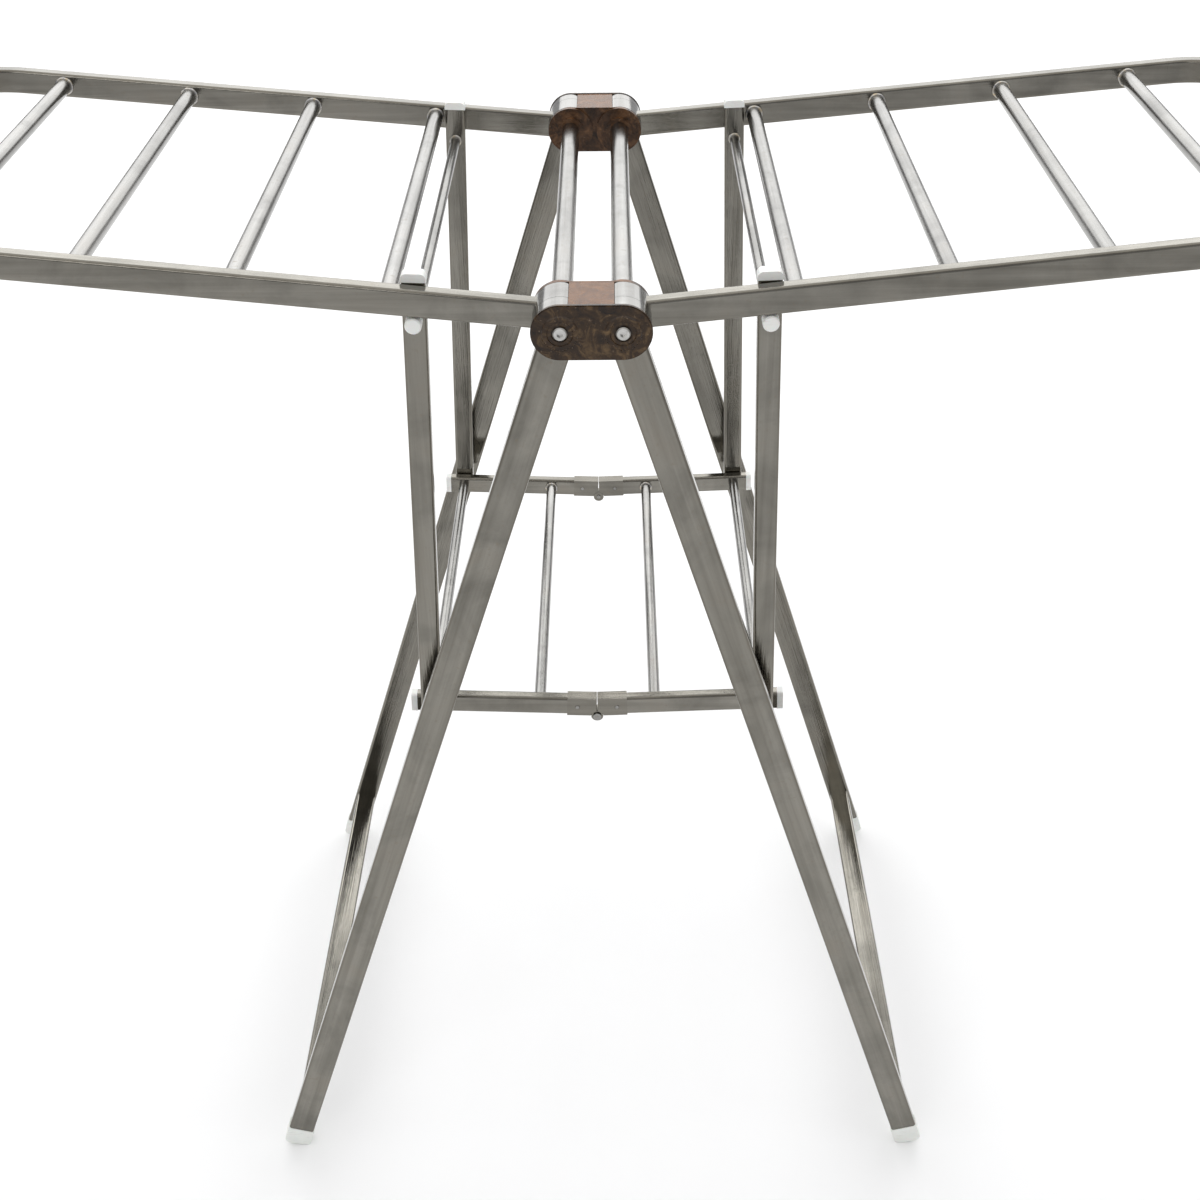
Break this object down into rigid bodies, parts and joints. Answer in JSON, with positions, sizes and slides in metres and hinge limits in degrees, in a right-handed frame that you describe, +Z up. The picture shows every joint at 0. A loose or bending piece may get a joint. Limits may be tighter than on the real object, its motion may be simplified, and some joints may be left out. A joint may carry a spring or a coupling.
{
  "type": "folding clothes drying rack",
  "caption": "Free-standing folding drying rack: crossed-leg steel tube frame with raised wings of hanging rods, prop frames and a jointed middle shelf.",
  "frame": {"origin": "on the floor, midway between the four feet", "axes": "+X to the right across the wings, +Y from front to rear along the rods, +Z up"},
  "size_m": [1.1884, 0.484, 0.9762],
  "materials": {
    "brown_cover": "glossy marbled brown",
    "brown_block": "glossy marbled brown",
    "hub_rod": "polished along its length",
    "collar_steel": "bright",
    "screw_steel": "bright",
    "foot_plastic": "off-white, fine grained",
    "white_plastic": "off-white, fine grained",
    "leg_steel": "polished tube",
    "floor_bar_steel": "polished tube",
    "wing_steel": "polished tube",
    "prop_steel": "polished tube",
    "shelf_steel": "polished tube",
    "bracket_steel": "pressed sheet",
    "rivet_steel": "plain",
    "spacer_steel": "plain",
    "rod_steel": "polished round tube"
  },
  "bodies": {
    "hub": {"front_hub_cover": "brown_cover", "rear_hub_cover": "brown_cover", "front_hub_block": "brown_block", "rear_hub_block": "brown_block", "left_hub_rod": "hub_rod", "right_hub_rod": "hub_rod", "hub_screws": "screw_steel"},
    "left_leg_frame": {"left_front_leg": "leg_steel", "left_rear_leg": "leg_steel", "left_floor_bar": "floor_bar_steel", "left_leg_collars": "collar_steel", "left_front_foot": "foot_plastic", "left_rear_foot": "foot_plastic", "left_axle": "rod_steel", "left_axle_spacers": "spacer_steel"},
    "right_leg_frame": {"right_front_leg": "leg_steel", "right_rear_leg": "leg_steel", "right_floor_bar": "floor_bar_steel", "right_leg_collars": "collar_steel", "right_front_foot": "foot_plastic", "right_rear_foot": "foot_plastic", "right_axle_studs": "rod_steel", "right_axle_spacers": "spacer_steel"},
    "left_wing": {"left_wing_frame": "wing_steel", "left_wing_collars": "collar_steel", "left_rod_1": "rod_steel", "left_rod_2": "rod_steel", "left_rod_3": "rod_steel", "left_rod_4": "rod_steel"},
    "right_wing": {"right_wing_frame": "wing_steel", "right_wing_collars": "collar_steel", "right_rod_1": "rod_steel", "right_rod_2": "rod_steel", "right_rod_3": "rod_steel", "right_rod_4": "rod_steel"},
    "left_prop": {"left_front_prop": "prop_steel", "left_rear_prop": "prop_steel", "left_crossbar": "rod_steel", "left_knobs": "white_plastic", "left_prop_plugs": "white_plastic"},
    "right_prop": {"right_front_prop": "prop_steel", "right_rear_prop": "prop_steel", "right_crossbar": "rod_steel", "right_knobs": "white_plastic", "right_prop_plugs": "white_plastic"},
    "left_shelf": {"left_front_shelf_rail": "shelf_steel", "left_rear_shelf_rail": "shelf_steel", "left_shelf_rod": "rod_steel", "left_shelf_plugs": "white_plastic", "left_hinge_brackets": "bracket_steel", "hinge_pins": "rivet_steel", "hinge_rivets_left": "rivet_steel"},
    "right_shelf": {"right_front_shelf_rail": "shelf_steel", "right_rear_shelf_rail": "shelf_steel", "right_shelf_rod": "rod_steel", "right_shelf_plugs": "white_plastic", "right_hinge_brackets": "bracket_steel", "hinge_rivets_right": "rivet_steel", "right_shelf_axle": "rod_steel"}
  },
  "joints": [
    {"name": "left_leg_fold", "type": "hinge", "parent": "hub", "child": "left_leg_frame", "pos_m": [-0.0223, 0, 0.91], "axis": [0, -1, 0], "range_deg": [0, 17.8]},
    {"name": "right_leg_fold", "type": "hinge", "parent": "hub", "child": "right_leg_frame", "pos_m": [0.0223, 0, 0.91], "axis": [0, 1, 0], "range_deg": [0, 17.8]},
    {"name": "left_shelf_fold", "type": "hinge", "parent": "left_leg_frame", "child": "left_shelf", "pos_m": [-0.14131, 0, 0.53934], "axis": [0, -1, 0], "range_deg": [0, 69.19]},
    {"name": "shelf_middle_fold", "type": "hinge", "parent": "left_shelf", "child": "right_shelf", "pos_m": [0, 0, 0.52445], "axis": [0, 1, 0], "range_deg": [0, 173.97]},
    {"name": "left_wing_lift", "type": "hinge", "parent": "hub", "child": "left_wing", "pos_m": [-0.0223, 0, 0.91], "axis": [0, 1, 0], "range_deg": [0, 70]},
    {"name": "right_wing_lift", "type": "hinge", "parent": "hub", "child": "right_wing", "pos_m": [0.0223, 0, 0.91], "axis": [0, -1, 0], "range_deg": [0, 70]},
    {"name": "left_prop_swing", "type": "hinge", "parent": "left_leg_frame", "child": "left_prop", "pos_m": [-0.14131, 0, 0.53934], "axis": [0, 1, 0], "range_deg": [0, 11.2]},
    {"name": "right_prop_swing", "type": "hinge", "parent": "right_leg_frame", "child": "right_prop", "pos_m": [0.14131, 0, 0.53934], "axis": [0, -1, 0], "range_deg": [0, 11.2]}
  ],
  "couplings": [
    {"joint": "right_leg_fold", "follows": "left_leg_fold", "ratio": 1},
    {"joint": "left_shelf_fold", "follows": "left_leg_fold", "ratio": 3.8868},
    {"joint": "shelf_middle_fold", "follows": "left_leg_fold", "ratio": 9.7736}
  ]
}
